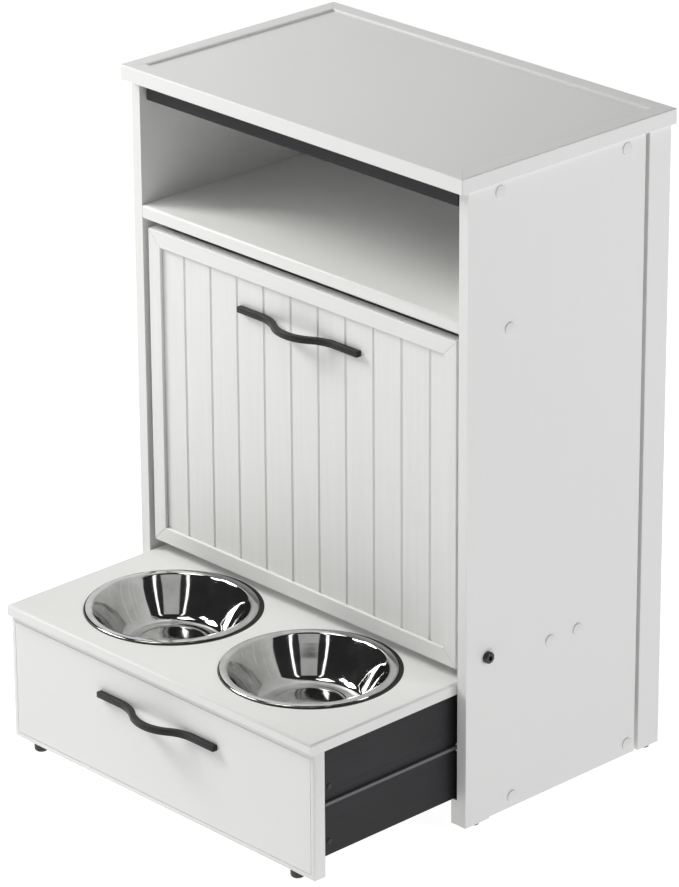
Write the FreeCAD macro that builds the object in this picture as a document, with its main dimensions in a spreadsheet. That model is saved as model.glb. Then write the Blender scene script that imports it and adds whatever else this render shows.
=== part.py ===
import FreeCAD, Part
import os
import Sketcher

# Pet food bin: a narrow white cabinet with a tilt-out bin behind a beaded door, an open
# compartment above it, and a low drawer below whose top board carries two steel bowls.
# Millimetres. X runs across the front, the front faces -Y, Z is up from the floor.
# The origin is on the floor, in the middle of the whole assembly as it stands with its
# drawer pulled out. The sheet below holds every driving size; front_y is the Y of the
# side panels' front edges, and depths are counted back from there.

doc = FreeCAD.newDocument("pet_food_bin")
Vector = FreeCAD.Vector
Rotation = FreeCAD.Rotation

SIZES = [
    # case
    ("front_y", -42.28), ("half_width", 296), ("panel_thick", 15), ("full_height", 852),
    ("side_depth", 302), ("post_gap", 7), ("post_depth", 38), ("glide_high", 2),
    ("glide_radius", 7), ("foot_depth", 42), ("foot_step", 2),
    ("top_thick", 20), ("top_side", 4), ("top_front", 14), ("top_back", 5),
    ("rim_width", 23), ("panel_drop", 3), ("edge_round", 1.5),
    ("rail_high", 25), ("rail_thick", 15), ("rail_set_back", 5), ("rail_end_gap", 7),
    ("batten_thick", 12), ("batten_lap", 22), ("post_lap", 11), ("batten_low", 40),
    ("back_thick", 6),
    ("shelf_top", 667.5), ("shelf_thick", 18), ("shelf_nose", 3),
    ("block_thick", 20), ("block_high", 20), ("block_start", 26), ("block_end", 114),
    ("rest_top", 217), ("rest_thick", 15), ("rest_start", 138), ("rest_end", 202),
    ("cleat_thick", 10), ("cleat_top", 36),
    ("channel_low", 102), ("channel_high", 10), ("channel_deep", 4.5), ("channel_wall", 2),
    ("channel_web", 1.5), ("channel_start", 2),
    # screws and their covers
    ("screw_radius", 2), ("screw_head", 4), ("head_high", 2), ("screw_length", 20),
    ("bore_deep", 4), ("cap_radius", 8), ("cap_proud", 1.5),
    ("batten_screw_a", 52.5), ("batten_screw_b", 269),
    ("block_screw_y", 70), ("block_screw_drop", 6.5),
    ("rest_screw_a", 145.7), ("rest_screw_b", 194.6),
    ("cleat_screw_z", 19), ("cleat_screw_a", 81), ("cleat_screw_b", 288),
    # pivot
    ("pivot_y", 36), ("pivot_z", 224), ("pivot_radius", 3), ("pivot_play", 0.05),
    ("knob_radius", 7.5), ("knob_high", 6), ("spacer_radius", 7), ("bush_radius", 5),
    ("nut_radius", 5), ("nut_high", 5), ("seat_gap", 0.3),
    # tilt-out bin
    ("door_gap", 7), ("door_low", 211), ("door_high", 427), ("door_front", 3),
    ("strip_thick", 4.5), ("strip_width", 21.5), ("bead_thick", 10.5),
    ("groove_first", 62), ("groove_pitch", 48.6), ("groove_width", 4), ("groove_deep", 2.2),
    ("bin_gap", 9), ("bin_board", 12), ("bin_back_y", 274), ("bin_front_top", 618),
    ("bin_rear_top", 566), ("bin_floor", 234), ("bin_floor_thick", 8),
    # handles
    ("handle_length", 215), ("handle_flat", 42), ("handle_bow", 20.5), ("handle_bar", 8),
    ("handle_inset", 25.5), ("handle_thread", 5.5),
    ("bin_handle_z", 575), ("drawer_handle_z", 129),
    # drawer, standing pulled out
    ("out_front", 243), ("out_back", 45), ("lid_gap", 2), ("lid_thick", 16),
    ("lid_top", 195), ("lid_round", 3), ("face_gap", 3), ("face_front", 237),
    ("face_thick", 18), ("face_low", 10), ("wall_gap", 6), ("wall_thick", 13),
    ("drawer_back_thick", 12), ("strip_high", 4),
    ("strip_proud", 3.5), ("corner_wide", 20), ("corner_deep", 20), ("corner_low", 40),
    ("corner_tall", 135), ("wall_screw_y", 210), ("wall_screw_a", 128), ("wall_screw_b", 55),
    ("wall_screw_head", 3.5), ("button_high", 1), ("wall_screw_length", 25),
    ("foot_x", 238), ("foot_radius", 9), ("foot_tip", 5.5), ("foot_dome", 3.5),
    # bowls
    ("mouth_radius", 99), ("rim_flat", 12), ("hole_play", 6), ("rebate_play", 3),
    ("rebate_deep", 1.5), ("bowl_web", 22.8), ("bowl_y", 98), ("bowl_shift", 2),
    ("rim_proud", 2.5), ("bowl_deep", 52), ("base_radius", 60), ("dimple_radius", 44),
    ("dimple_high", 3), ("bowl_wall", 1), ("hem_gap", 0.2),
]

# sizes that follow from those above, written out in full wherever they are used
FOLLOWING = {
    "door_half": "half_width - panel_thick - door_gap",
    "bin_half": "half_width - panel_thick - bin_gap",
    "lid_half": "half_width - panel_thick - lid_gap",
    "face_half": "half_width - panel_thick - face_gap",
    "wall_outer": "half_width - panel_thick - wall_gap",
    "batten_start": "side_depth - batten_lap",
    "batten_end": "side_depth + post_gap + post_lap",
    "batten_screw_z": "full_height - top_thick - rail_high / 2",
    "block_screw_z": "shelf_top - shelf_thick - block_screw_drop",
    "rest_screw_z": "rest_top - rest_thick / 2",
    "wall_low": "cleat_top + seat_gap",
    "strip_low": "channel_low + ( channel_high - strip_high ) / 2",
    "handle_screw_x": "handle_length / 2 - handle_inset",
    "handle_curve": "( ( handle_length / 2 - handle_flat ) ^ 2 + handle_bow ^ 2 ) / 4 / handle_bow",
    "rim_radius": "mouth_radius + rim_flat",
    "rebate_radius": "rim_radius + rebate_play",
    "hole_radius": "mouth_radius + hole_play",
    "bowl_x": "rebate_radius + bowl_web / 2",
    "rim_top": "lid_top + rim_proud",
}

sheet = doc.addObject("Spreadsheet::Sheet", "Sizes")
for row, (alias, value) in enumerate(SIZES, start=1):
    sheet.set("A%d" % row, alias)
    sheet.set("B%d" % row, str(value))
    sheet.setAlias("B%d" % row, alias)
doc.recompute()


def formula(text):
    """Writes an expression on the sheet's sizes: its words are separated by spaces."""
    words = []
    for word in str(text).split():
        if word in FOLLOWING:
            words += ["(", formula(FOLLOWING[word]), ")"]
        elif word[0].isalpha():
            words.append("Sizes." + word)
        else:
            words.append(word)
    return " ".join(words)


def number(text):
    return float(sheet.evalExpression(formula(text)))


def bind(item, prop, text):
    item.setExpression(prop, formula(text))


def place(item, x, y, z, rotation=Rotation()):
    """Puts the item's own origin at x, y, z; y is counted back from the front edges."""
    item.Placement = FreeCAD.Placement(Vector(0, 0, 0), rotation)
    bind(item, "Placement.Base.x", x)
    bind(item, "Placement.Base.y", "front_y + " + y)
    bind(item, "Placement.Base.z", z)
    return item


# PartDesign pieces

def new_body(name):
    body = doc.addObject("PartDesign::Body", name)
    body.Label = name
    return body


def new_sketch(body, name, role, start="0"):
    """A sketch on one of the body's origin planes, moved along X, Y or Z by start."""
    sketch = body.newObject("Sketcher::SketchObject", name)
    plane = [item for item in body.Origin.OriginFeatures if item.Role == role][0]
    sketch.AttachmentSupport = [(plane, "")]
    sketch.MapMode = "FlatFace"
    if start != "0":
        sign = "0 - " if role == "XZ_Plane" else "0 + "
        bind(sketch, "AttachmentOffset.Base.z", sign + "( " + start + " )")
    return sketch


def draw_polygon(sketch, corners):
    """A closed outline whose corners are each held from the sketch's origin."""
    points = [Vector(number(x), number(y), 0) for x, y in corners]
    following = points[1:] + points[:1]
    sketch.addGeometry([Part.LineSegment(a, b) for a, b in zip(points, following)])
    last = len(corners) - 1
    for index, (x, y) in enumerate(corners):
        before = last if index == 0 else index - 1
        sketch.addConstraint(Sketcher.Constraint("Coincident", before, 2, index, 1))
        hold_point(sketch, index, 1, x, y, "corner%d" % index)


def hold_point(sketch, edge, end, x, y, label):
    for kind, text in (("DistanceX", x), ("DistanceY", y)):
        if text == "0":
            axis = -2 if kind == "DistanceX" else -1
            sketch.addConstraint(Sketcher.Constraint("PointOnObject", edge, end, axis))
            continue
        added = Sketcher.Constraint(kind, -1, 1, edge, end, number(text))
        index = sketch.addConstraint(added)
        sketch.renameConstraint(index, label + kind[-1])
        bind(sketch, "Constraints." + label + kind[-1], text)


def extrude(name, role, corners, length):
    """A board or bar: an outline drawn on an origin plane and padded along +X, +Y or +Z."""
    body = new_body(name)
    sketch = new_sketch(body, name + "_outline", role)
    draw_polygon(sketch, corners)
    pad = body.newObject("PartDesign::Pad", name + "_pad")
    pad.Profile = sketch
    pad.Reversed = role == "XZ_Plane"
    bind(pad, "Length", length)
    doc.recompute()
    return body


def board(name, wide, deep, high):
    corners = [("0", "0"), (wide, "0"), (wide, deep), ("0", deep)]
    return extrude(name, "XY_Plane", corners, high)


def bore(body, name, role, centres, radius, start="0", depth=None):
    """Round holes along +X, +Y or +Z from the plane; through the piece if depth is None."""
    before = body.Shape.Volume
    sketch = new_sketch(body, name + "_circles", role, start)
    for index, (x, y) in enumerate(centres):
        centre = Vector(number(x), number(y), 0)
        sketch.addGeometry(Part.Circle(centre, Vector(0, 0, 1), number(radius)))
        hold_point(sketch, index, 3, x, y, "centre%d" % index)
        added = Sketcher.Constraint("Radius", index, number(radius))
        sketch.renameConstraint(sketch.addConstraint(added), "radius%d" % index)
        bind(sketch, "Constraints.radius%d" % index, radius)
    pocket = body.newObject("PartDesign::Pocket", name)
    pocket.Profile = sketch
    pocket.Reversed = role != "XZ_Plane"
    if depth is None:
        pocket.Type = "ThroughAll"
    else:
        bind(pocket, "Length", depth)
    doc.recompute()
    if not body.Shape.Volume < before - 1:
        raise ValueError(name + " cuts nothing")


def round_edges(body, name, radius, keep):
    """Rounds the straight edges for which keep(middle, direction, box) is true."""
    box = body.Tip.Shape.BoundBox
    chosen = []
    for index, edge in enumerate(body.Tip.Shape.Edges, start=1):
        if edge.Curve.TypeId != "Part::GeomLine":
            continue
        direction = edge.Curve.Direction
        middle = (edge.Vertexes[0].Point + edge.Vertexes[-1].Point) * 0.5
        if keep(middle, direction, box):
            chosen.append("Edge%d" % index)
    fillet = body.newObject("PartDesign::Fillet", name)
    fillet.Base = (fillet.BaseFeature, chosen)
    bind(fillet, "Radius", radius)
    doc.recompute()


# Part pieces: several like solids in one piece

def cylinder(name, radius, length, rotation, x, y, z):
    item = doc.addObject("Part::Cylinder", name)
    bind(item, "Radius", radius)
    bind(item, "Height", length)
    return place(item, x, y, z, rotation)


def cone(name, low_radius, high_radius, length, rotation, x, y, z):
    item = doc.addObject("Part::Cone", name)
    bind(item, "Radius1", low_radius)
    bind(item, "Radius2", high_radius)
    bind(item, "Height", length)
    return place(item, x, y, z, rotation)


def cut(name, base, tool):
    item = doc.addObject("Part::Cut", name)
    item.Base = base
    item.Tool = tool
    return item


def gather(name, items):
    item = doc.addObject("Part::MultiFuse", name)
    item.Label = name
    item.Shapes = items
    return item


UPRIGHT = Rotation()
ALONG_PLUS_X = Rotation(Vector(0, 1, 0), 90)
ALONG_MINUS_X = Rotation(Vector(0, 1, 0), -90)
ALONG_PLUS_Y = Rotation(Vector(1, 0, 0), -90)
ALONG_MINUS_Y = Rotation(Vector(1, 0, 0), 90)
INNER = "half_width - panel_thick"
CASE_TOP = "full_height - top_thick"
# each side: its name, the sign of its X, and the direction that points out of the case
SIDES = [("left", "-1", ALONG_MINUS_X), ("right", "1", ALONG_PLUS_X)]
PIECES = []


def near_x(side, inner, outer):
    """The lower X of a piece that spans inner to outer on the given side."""
    return inner if side == "right" else "0 - ( " + outer + " )"


# Case ------------------------------------------------------------------------------

CAP_SPOTS = [
    ("batten_screw_a", "batten_screw_z"), ("batten_screw_b", "batten_screw_z"),
    ("block_screw_y", "block_screw_z"),
    ("rest_screw_a", "rest_screw_z"), ("rest_screw_b", "rest_screw_z"),
    ("cleat_screw_a", "cleat_screw_z"), ("cleat_screw_b", "cleat_screw_z"),
]


def side_panel(side):
    """Side board standing on a short front foot, bored for the pivot and the screws."""
    foot = "glide_high + foot_step"
    corners = [
        ("0", "glide_high"), ("foot_depth", "glide_high"), ("foot_depth", foot),
        ("side_depth", foot), ("side_depth", CASE_TOP), ("0", CASE_TOP),
    ]
    name = "side_panel_" + side
    body = extrude(name, "YZ_Plane", corners, "panel_thick")
    bore(body, name + "_pivot_hole", "YZ_Plane", [("pivot_y", "pivot_z")],
         "pivot_radius + pivot_play")
    bore(body, name + "_screw_holes", "YZ_Plane", CAP_SPOTS, "screw_radius")
    start = "panel_thick - bore_deep" if side == "right" else "0"
    bore(body, name + "_head_holes", "YZ_Plane", CAP_SPOTS, "screw_head", start, "bore_deep")
    return place(body, near_x(side, INNER, "half_width"), "0", "0")


def rear_post(side):
    body = board("rear_post_" + side, "panel_thick", "post_depth", CASE_TOP + " - glide_high")
    return place(body, near_x(side, INNER, "half_width"), "side_depth + post_gap",
                 "glide_high")


def rear_batten(side):
    """Ties the side panel to the post behind it across the open slot."""
    high = CASE_TOP + " - rail_high - batten_low"
    body = board("rear_batten_" + side, "batten_thick", "batten_end - batten_start", high)
    return place(body, near_x(side, INNER + " - batten_thick", INNER), "batten_start",
                 "batten_low")


def top_batten(side):
    """Dark batten under the top, screwed through the side panel."""
    name = "top_batten_" + side
    start = "rail_set_back + rail_thick"
    body = board(name, "rail_thick", "side_depth - 2 - ( " + start + " )", "rail_high")
    spots = [(y + " - ( " + start + " )", z + " - ( " + CASE_TOP + " - rail_high )")
             for y, z in CAP_SPOTS[:2]]
    bore(body, name + "_screw_holes", "YZ_Plane", spots, "screw_radius")
    return place(body, near_x(side, INNER + " - rail_thick", INNER), start,
                 CASE_TOP + " - rail_high")


def stop_block(side):
    """Carries the shelf and stops the rear corner of the opened bin."""
    name = "stop_block_" + side
    low = "shelf_top - shelf_thick - block_high"
    body = board(name, "block_thick", "block_end - block_start", "block_high")
    spots = [("block_screw_y - block_start", "block_screw_z - ( " + low + " )")]
    bore(body, name + "_screw_hole", "YZ_Plane", spots, "screw_radius")
    return place(body, near_x(side, INNER + " - block_thick", INNER), "block_start", low)


def runner_cleat(side):
    """White cleat on which the drawer's side board slides."""
    name = "runner_cleat_" + side
    body = board(name, "cleat_thick", "side_depth", "cleat_top - glide_high")
    spots = [(y, z + " - glide_high") for y, z in CAP_SPOTS[5:]]
    bore(body, name + "_screw_holes", "YZ_Plane", spots, "screw_radius")
    return place(body, near_x(side, INNER + " - cleat_thick", INNER), "0", "glide_high")


def guide_channel(side):
    """U-shaped channel on the side panel that keeps the drawer's strip level."""
    upper = "channel_high - channel_wall"
    if side == "right":
        slot = "channel_deep - channel_web"
        corners = [
            ("0", "0"), ("channel_deep", "0"), ("channel_deep", "channel_high"),
            ("0", "channel_high"), ("0", upper), (slot, upper),
            (slot, "channel_wall"), ("0", "channel_wall"),
        ]
    else:
        corners = [
            ("0", "0"), ("channel_deep", "0"), ("channel_deep", "channel_wall"),
            ("channel_web", "channel_wall"), ("channel_web", upper),
            ("channel_deep", upper), ("channel_deep", "channel_high"), ("0", "channel_high"),
        ]
    body = extrude("guide_channel_" + side, "XZ_Plane", corners,
                   "batten_start - channel_start")
    return place(body, near_x(side, INNER + " - channel_deep", INNER), "channel_start",
                 "channel_low")


for side, sign, outward in SIDES:
    PIECES += [side_panel(side), rear_post(side), rear_batten(side), top_batten(side),
               stop_block(side), runner_cleat(side), guide_channel(side)]


def mitred_strip(name, length, width, thick, x, y, z, rotation):
    """A strip cut at 45 degrees at both ends, its long edge along its own X."""
    corners = [("0", "0"), (length, "0"), (length + " - " + width, width), (width, width)]
    body = extrude(name, "XY_Plane", corners, thick)
    return place(body, x, y, z, rotation)


TOP_HALF = "half_width + top_side"
TOP_REAR = "side_depth + post_gap + post_depth + top_back"
TOP_DEEP = TOP_REAR + " + top_front"
TOP_RIM = [
    ("front", "2 * ( " + TOP_HALF + " )", "0 - ( " + TOP_HALF + " )", "0 - top_front", 0),
    ("right", TOP_DEEP, TOP_HALF, "0 - top_front", 90),
    ("back", "2 * ( " + TOP_HALF + " )", TOP_HALF, TOP_REAR, 180),
    ("left", TOP_DEEP, "0 - ( " + TOP_HALF + " )", TOP_REAR, 270),
]
for place_name, length, x, y, turn in TOP_RIM:
    rim = mitred_strip("top_rim_" + place_name, length, "rim_width", "top_thick", x, y,
                       CASE_TOP, Rotation(Vector(0, 0, 1), turn))
    round_edges(rim, "top_rim_" + place_name + "_edge", "edge_round",
                lambda middle, direction, box: abs(direction.x) > 0.9 and middle.z > 1)
    PIECES.append(rim)


def top_panel():
    """Top board let into the rim, its face a little below the rim's."""
    body = board("top_panel", "2 * ( " + TOP_HALF + " - rim_width )",
                 TOP_DEEP + " - 2 * rim_width", "top_thick - panel_drop")
    return place(body, "0 - ( " + TOP_HALF + " - rim_width )", "rim_width - top_front",
                 CASE_TOP)


def top_rail(end):
    """Dark rail under the top: across the front of the battens, or between their ends."""
    if end == "front":
        half = INNER + " - rail_end_gap"
        start = "rail_set_back"
    else:
        half = INNER + " - rail_thick"
        start = "side_depth - 2 - rail_thick"
    body = board("top_rail_" + end, "2 * ( " + half + " )", "rail_thick", "rail_high")
    return place(body, "0 - ( " + half + " )", start, CASE_TOP + " - rail_high")


def back_panel():
    high = CASE_TOP + " - rail_high - batten_low"
    body = board("back_panel", "2 * ( " + INNER + " )", "back_thick", high)
    return place(body, "0 - ( " + INNER + " )", "batten_end", "batten_low")


def shelf():
    """Shelf notched round the rear battens, its front edge slightly rounded."""
    notch = INNER + " - batten_thick"
    corners = [
        ("0", "0"), ("2 * ( " + INNER + " )", "0"),
        ("2 * ( " + INNER + " )", "batten_start"),
        (INNER + " + " + notch, "batten_start"), (INNER + " + " + notch, "batten_end"),
        ("batten_thick", "batten_end"), ("batten_thick", "batten_start"),
        ("0", "batten_start"),
    ]
    body = extrude("shelf", "XY_Plane", corners, "shelf_thick")
    round_edges(body, "shelf_nosing", "shelf_nose",
                lambda middle, direction, box: abs(direction.x) > 0.9 and middle.y < 1)
    return place(body, "0 - ( " + INNER + " )", "0", "shelf_top - shelf_thick")


def stretcher():
    """Cross board on which the closed bin rests."""
    name = "stretcher"
    body = board(name, "2 * ( " + INNER + " )", "rest_end - rest_start", "rest_thick")
    spots = [(y + " - rest_start", z + " - ( rest_top - rest_thick )")
             for y, z in CAP_SPOTS[3:5]]
    depth = "screw_length + bore_deep - head_high - panel_thick"
    bore(body, name + "_left_holes", "YZ_Plane", spots, "screw_radius", "0", depth)
    bore(body, name + "_right_holes", "YZ_Plane", spots, "screw_radius",
         "2 * ( " + INNER + " ) - ( " + depth + " )", depth)
    return place(body, "0 - ( " + INNER + " )", "rest_start", "rest_top - rest_thick")


PIECES += [top_panel(), top_rail("front"), top_rail("back"), back_panel(), shelf(),
           stretcher()]


# Fasteners of the case ---------------------------------------------------------------

def cover_caps():
    """White push-in caps over the case screws: a disc on the face and a plug in the bore."""
    parts = []
    for side, sign, outward in SIDES:
        for index, (y, z) in enumerate(CAP_SPOTS):
            name = "cap_%s_%d" % (side, index)
            face = sign + " * half_width"
            plug = sign + " * ( half_width - bore_deep + head_high )"
            parts.append(cylinder(name + "_disc", "cap_radius", "cap_proud", outward,
                                  face, y, z))
            parts.append(cylinder(name + "_plug", "screw_head",
                                  "bore_deep - head_high + cap_proud / 2", outward, plug, y, z))
    return gather("cover_caps", parts)


def case_screws():
    """Screws through the side panels, their heads let into the bores under the caps."""
    parts = []
    for side, sign, outward in SIDES:
        for index, (y, z) in enumerate(CAP_SPOTS):
            name = "case_screw_%s_%d" % (side, index)
            head = sign + " * ( half_width - bore_deep )"
            tip = sign + " * ( half_width - bore_deep - screw_length + head_high )"
            parts.append(cylinder(name + "_head", "screw_head", "head_high", outward,
                                  head, y, z))
            parts.append(cylinder(name + "_shank", "screw_radius", "screw_length - 1",
                                  outward, tip, y, z))
    return gather("case_screws", parts)


def pivot_bolts():
    """Pivot bolts with black knob heads, one through each side panel into the bin."""
    parts = []
    for side, sign, outward in SIDES:
        name = "pivot_bolt_" + side
        inner = sign + " * ( bin_half - bin_board - nut_high - seat_gap )"
        length = "half_width - bin_half + bin_board + nut_high + seat_gap + 1"
        parts.append(cylinder(name + "_knob", "knob_radius", "knob_high", outward,
                              sign + " * half_width", "pivot_y", "pivot_z"))
        parts.append(cylinder(name + "_shank", "pivot_radius", length, outward,
                              inner, "pivot_y", "pivot_z"))
    return gather("pivot_bolts", parts)


def rings(name, outer, inner, length, start):
    """A ring on each pivot axis, starting at X = start and reaching outwards."""
    parts = []
    for side, sign, outward in SIDES:
        x = sign + " * ( " + start + " )"
        body = cylinder(name + "_body_" + side, outer, length, outward, x,
                        "pivot_y", "pivot_z")
        hole = cylinder(name + "_hole_" + side, inner, length, outward, x,
                        "pivot_y", "pivot_z")
        parts.append(cut(name + "_" + side, body, hole))
    return gather(name, parts)


def floor_glides():
    """Thin black discs under the two front feet and the two rear posts."""
    parts = []
    spots = [("front", "foot_depth / 2"), ("rear", "side_depth + post_gap + post_depth / 2")]
    for side, sign, outward in SIDES:
        for end, y in spots:
            x = sign + " * ( half_width - panel_thick / 2 )"
            parts.append(cylinder("glide_%s_%s" % (side, end), "glide_radius", "glide_high",
                                  UPRIGHT, x, y, "0"))
    return gather("floor_glides", parts)


PIECES += [
    cover_caps(), case_screws(), pivot_bolts(), floor_glides(),
    rings("pivot_spacers", "spacer_radius", "pivot_radius",
          INNER + " - bin_half - seat_gap", "bin_half + seat_gap"),
    rings("pivot_nuts", "nut_radius", "pivot_radius", "nut_high",
          "bin_half - bin_board - nut_high - seat_gap"),
    rings("pivot_bushes", "bush_radius", "pivot_radius + pivot_play", "bin_board",
          "bin_half - bin_board"),
]


# Tilt-out bin --------------------------------------------------------------------------

BIN_FRONT = "door_front + strip_thick + bead_thick"
BIN_LOW = "rest_top + seat_gap"
BIN_INNER = "bin_half - bin_board"


def bin_front_panel():
    """Beaded door panel: vertical V-grooves at an even pitch, bored for the handle."""
    name = "bin_front_panel"
    body = board(name, "2 * door_half", "bead_thick", "door_high")
    before = body.Shape.Volume
    left = "groove_first - groove_width / 2"
    right = "groove_first + groove_width / 2"
    groove = new_sketch(body, name + "_groove_outline", "XY_Plane")
    draw_polygon(groove, [(left, "0 - 0.1"), (right, "0 - 0.1"),
                          ("groove_first", "groove_deep")])
    pocket = body.newObject("PartDesign::Pocket", name + "_groove")
    pocket.Profile = groove
    pocket.Type = "ThroughAll"
    pocket.Reversed = True
    doc.recompute()
    pattern = body.newObject("PartDesign::LinearPattern", name + "_grooves")
    pattern.Originals = [pocket]
    pattern.Direction = (groove, ["H_Axis"])
    bind(pattern, "Length", "9 * groove_pitch")
    pattern.Occurrences = 10
    body.Tip = pattern
    doc.recompute()
    if not body.Shape.Volume < before - 1:
        raise ValueError("the door's grooves cut nothing")
    spots = [("door_half " + sign + " handle_screw_x", "bin_handle_z - door_low")
             for sign in ("-", "+")]
    bore(body, name + "_handle_holes", "XZ_Plane", spots, "screw_radius")
    return place(body, "0 - door_half", "door_front + strip_thick", "door_low")


PIECES.append(bin_front_panel())

# the door's frame: each strip's name, length, corner and turn about Y
DOOR_TOP = "door_low + door_high"
DOOR_STRIPS = [
    ("bottom", "2 * door_half", "0 - door_half", "door_low", 0),
    ("right", "door_high", "door_half", "door_low", -90),
    ("top", "2 * door_half", "door_half", DOOR_TOP, 180),
    ("left", "door_high", "0 - door_half", DOOR_TOP, 90),
]
for place_name, length, x, z, turn in DOOR_STRIPS:
    facing = Rotation(Vector(0, 1, 0), turn).multiply(Rotation(Vector(1, 0, 0), 90))
    PIECES.append(mitred_strip("bin_frame_" + place_name, length, "strip_width",
                               "strip_thick", x, "door_front + strip_thick", z, facing))


def bin_side(side):
    """Side of the bin, its upper edge falling towards the back."""
    name = "bin_side_" + side
    deep = "bin_back_y - ( " + BIN_FRONT + " )"
    low = " - ( " + BIN_LOW + " )"
    corners = [("0", "0"), (deep, "0"), (deep, "bin_rear_top" + low),
               ("0", "bin_front_top" + low)]
    body = extrude(name, "YZ_Plane", corners, "bin_board")
    spot = [("pivot_y - ( " + BIN_FRONT + " )", "pivot_z" + low)]
    bore(body, name + "_bush_hole", "YZ_Plane", spot, "bush_radius")
    return place(body, near_x(side, BIN_INNER, "bin_half"), BIN_FRONT, BIN_LOW)


def bin_bottom():
    body = board("bin_bottom", "2 * ( " + BIN_INNER + " )",
                 "bin_back_y - bin_board - ( " + BIN_FRONT + " )", "bin_floor_thick")
    return place(body, "0 - ( " + BIN_INNER + " )", BIN_FRONT, "bin_floor")


def bin_back():
    body = board("bin_back", "2 * ( " + BIN_INNER + " )", "bin_board",
                 "bin_rear_top - ( " + BIN_LOW + " )")
    return place(body, "0 - ( " + BIN_INNER + " )", "bin_back_y - bin_board", BIN_LOW)


# the handle's plan: flat ends joined by arcs of one radius, which turn over half way up
HANDLE_SINE = "( handle_length / 2 - handle_flat ) / 2 / handle_curve"
HANDLE_COSINE = "( 1 - ( " + HANDLE_SINE + " ) ^ 2 ) ^ 0.5"
HANDLE_TURN_X = "( handle_flat + handle_length / 2 ) / 2"
HANDLE_TURN_Y = "handle_curve * ( 1 - " + HANDLE_COSINE + " )"


def arc_middle(centre, first, last):
    """The middle of the short arc from first to last round the centre."""
    direction = (first - centre) + (last - centre)
    return centre + direction.normalize() * (first - centre).Length


def handle_side(sign):
    """One long side of the handle, from left to right: its corners, then its arcs."""
    y = "0 " + sign + " handle_bar / 2"
    other = "+" if sign == "-" else "-"
    along = " " + other + " handle_bar / 2 * " + HANDLE_SINE
    level = HANDLE_TURN_Y + " " + sign + " handle_bar / 2 * " + HANDLE_COSINE
    corners = [
        ("0", y), ("handle_flat", y), (HANDLE_TURN_X + along, level),
        ("handle_length - ( " + HANDLE_TURN_X + along + " )", level),
        ("handle_length - handle_flat", y), ("handle_length", y),
    ]
    outer = "handle_curve " + other + " handle_bar / 2"
    crest = ("handle_length / 2", "2 * " + HANDLE_TURN_Y + " - handle_curve",
             "handle_curve " + sign + " handle_bar / 2")
    arcs = [None, ("handle_flat", "handle_curve", outer), crest,
            ("handle_length - handle_flat", "handle_curve", outer), None]
    return corners, arcs


def bow_handle(name, surface_y, z):
    """Square bar lying on the face at both ends and bowed out between them."""
    body = new_body(name)
    near, near_arcs = handle_side("-")
    far, far_arcs = handle_side("+")
    corners = near + far[::-1]
    arcs = near_arcs + [None] + far_arcs[::-1] + [None]
    outline = new_sketch(body, name + "_outline", "XY_Plane", "0 - handle_bar / 2")
    points = [Vector(number(x), number(y), 0) for x, y in corners]
    for edge, arc in enumerate(arcs):
        following = (edge + 1) % len(corners)
        first, last = points[edge], points[following]
        first_end, last_end = 1, 2
        if arc is None:
            outline.addGeometry(Part.LineSegment(first, last))
        else:
            # an arc is always drawn anticlockwise, so its ends may change places
            centre = Vector(number(arc[0]), number(arc[1]), 0)
            middle = arc_middle(centre, first, last)
            if (first - centre).cross(last - centre).z < 0:
                first, last = last, first
                first_end, last_end = 2, 1
            outline.addGeometry(Part.Arc(first, middle, last))
        hold_point(outline, edge, first_end, *corners[edge], "first%d" % edge)
        hold_point(outline, edge, last_end, *corners[following], "last%d" % edge)
        if arc is not None:
            index = outline.addConstraint(Sketcher.Constraint("Radius", edge, number(arc[2])))
            outline.renameConstraint(index, "curve%d" % edge)
            bind(outline, "Constraints.curve%d" % edge, arc[2])
    pad = body.newObject("PartDesign::Pad", name + "_pad")
    pad.Profile = outline
    bind(pad, "Length", "handle_bar")
    doc.recompute()
    less = "0 - handle_bar / 2"
    spots = [("handle_length / 2 " + sign + " handle_screw_x", "0") for sign in ("-", "+")]
    bore(body, name + "_threads", "XZ_Plane", spots, "screw_radius", less, "handle_thread")
    return place(body, "handle_length / 2", surface_y + " - handle_bar / 2", z,
                 Rotation(Vector(0, 0, 1), 180))


def handle_screws(name, face_y, face_thick, z):
    """Two screws from behind the face into the handle's flat ends."""
    parts = []
    for side, sign, outward in SIDES:
        x = sign + " * handle_screw_x"
        behind = face_y + " + " + face_thick
        parts.append(cylinder(name + "_head_" + side, "screw_head", "head_high",
                              ALONG_PLUS_Y, x, behind, z))
        parts.append(cylinder(name + "_shank_" + side, "screw_radius",
                              face_thick + " + handle_thread - 0.5 + 1", ALONG_PLUS_Y, x,
                              face_y + " - handle_thread + 0.5", z))
    return gather(name, parts)


for side, sign, outward in SIDES:
    PIECES.append(bin_side(side))
PIECES += [
    bin_bottom(), bin_back(),
    bow_handle("bin_handle", "door_front + strip_thick", "bin_handle_z"),
    handle_screws("bin_handle_screws", "door_front + strip_thick", "bead_thick",
                  "bin_handle_z"),
]


# Drawer, pulled out ----------------------------------------------------------------------

LID_LOW = "lid_top - lid_thick"
FACE_BACK = "face_thick - face_front"
BOWL_CENTRES = [("lid_half " + sign + " bowl_x", "out_front - bowl_y") for sign in ("-", "+")]


def drawer_top_board():
    """Top board of the drawer: two rebated round holes, rounded upper and front edges."""
    name = "drawer_top_board"
    body = board(name, "2 * lid_half", "out_front + out_back", "lid_thick")
    round_edges(body, name + "_edge", "lid_round",
                lambda middle, direction, box: (middle.y < 1 or middle.z > box.ZMax - 1)
                and middle.y < box.YMax - 1 and abs(direction.z) < 0.5)
    bore(body, name + "_holes", "XY_Plane", BOWL_CENTRES, "hole_radius")
    bore(body, name + "_rebates", "XY_Plane", BOWL_CENTRES, "rebate_radius",
         "lid_thick - rebate_deep")
    return place(body, "0 - lid_half", "0 - out_front", LID_LOW)


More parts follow.
